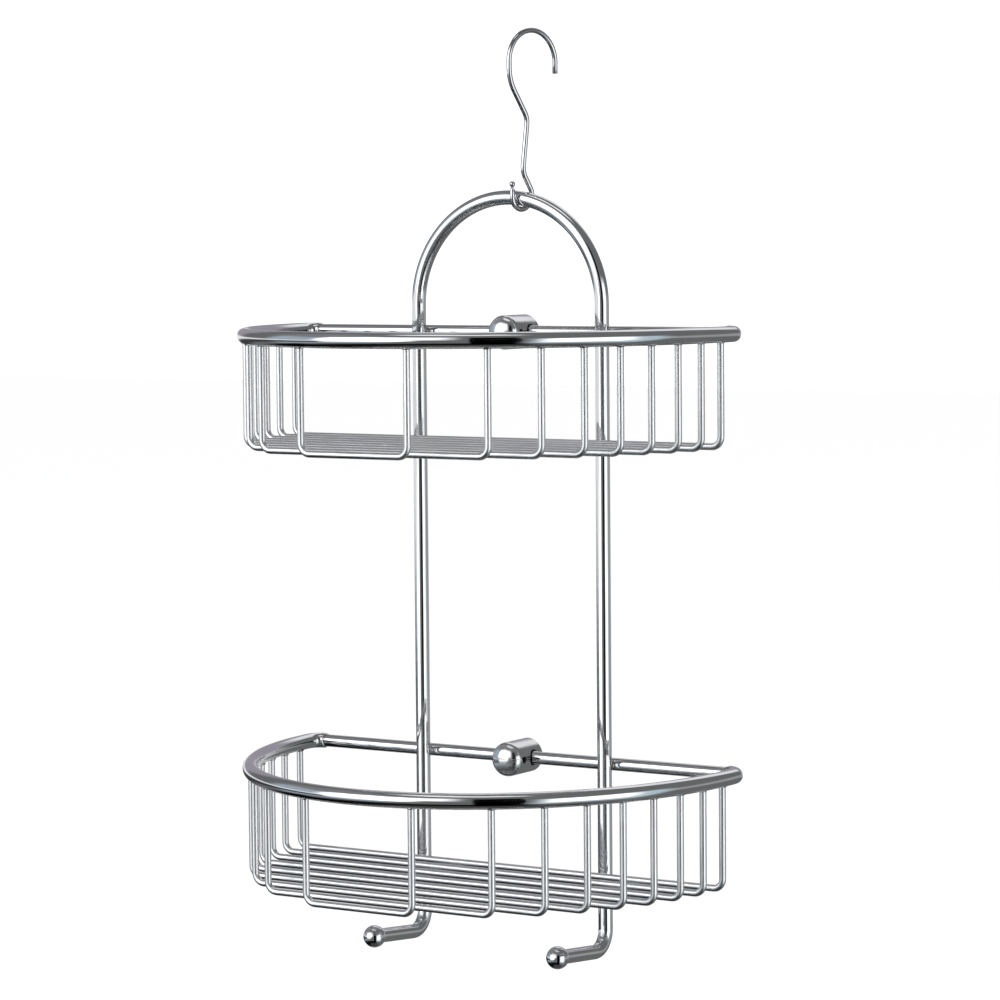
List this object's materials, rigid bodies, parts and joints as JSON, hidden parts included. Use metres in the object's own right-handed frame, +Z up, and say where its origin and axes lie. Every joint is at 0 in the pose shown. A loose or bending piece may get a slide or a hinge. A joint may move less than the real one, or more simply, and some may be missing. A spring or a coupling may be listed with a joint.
{
  "type": "two-tier shower caddy",
  "caption": "Hanging shower caddy in chrome-plated rod: bow-fronted wire baskets on an arched frame with forward hooks, an S-hook to hang it by and domed wall posts behind.",
  "frame": {"origin": "middle of the S-hook's upper loop, on the axis of the rail that it hangs on", "axes": "+X to the right seen from the front, +Y back towards the wall, +Z up"},
  "size_m": [0.2651, 0.174, 0.4706],
  "materials": {
    "chrome_rod": "bright chrome plate on steel rod and wire",
    "chrome_post": "chrome plate on turned metal, a little softer on the side",
    "screw_steel": "black oxide"
  },
  "bodies": {
    "hook": {"s_hook": "chrome_rod"},
    "caddy": {"main_frame": "chrome_rod", "hook_ball_left": "chrome_rod", "hook_ball_right": "chrome_rod", "upper_rim": "chrome_rod", "lower_rim": "chrome_rod", "upper_back_bar": "chrome_rod", "lower_back_bar": "chrome_rod", "upper_wire_1": "chrome_rod", "upper_wire_2": "chrome_rod", "upper_wire_3": "chrome_rod", "upper_wire_4": "chrome_rod", "upper_wire_5": "chrome_rod", "upper_wire_6": "chrome_rod", "upper_wire_7": "chrome_rod", "upper_wire_8": "chrome_rod", "upper_wire_9": "chrome_rod", "lower_wire_1": "chrome_rod", "lower_wire_2": "chrome_rod", "lower_wire_3": "chrome_rod", "lower_wire_4": "chrome_rod", "lower_wire_5": "chrome_rod", "lower_wire_6": "chrome_rod", "lower_wire_7": "chrome_rod", "lower_wire_8": "chrome_rod", "lower_wire_9": "chrome_rod"},
    "upper_post": {"upper_wall_post": "chrome_post", "upper_grub_screw": "screw_steel"},
    "lower_post": {"lower_wall_post": "chrome_post", "lower_grub_screw": "screw_steel"}
  },
  "joints": [
    {"name": "caddy_swing", "type": "hinge", "parent": "hook", "child": "caddy", "pos_m": [-0.00207, -0.00773, -0.06915], "axis": [-1, 0, 0], "range_deg": [0, 60]},
    {"name": "upper_post_slide", "type": "slide", "parent": "caddy", "child": "upper_post", "axis": [1, 0, 0], "range_m": [-0.04, 0.04]},
    {"name": "lower_post_slide", "type": "slide", "parent": "caddy", "child": "lower_post", "axis": [1, 0, 0], "range_m": [-0.04, 0.04]}
  ]
}
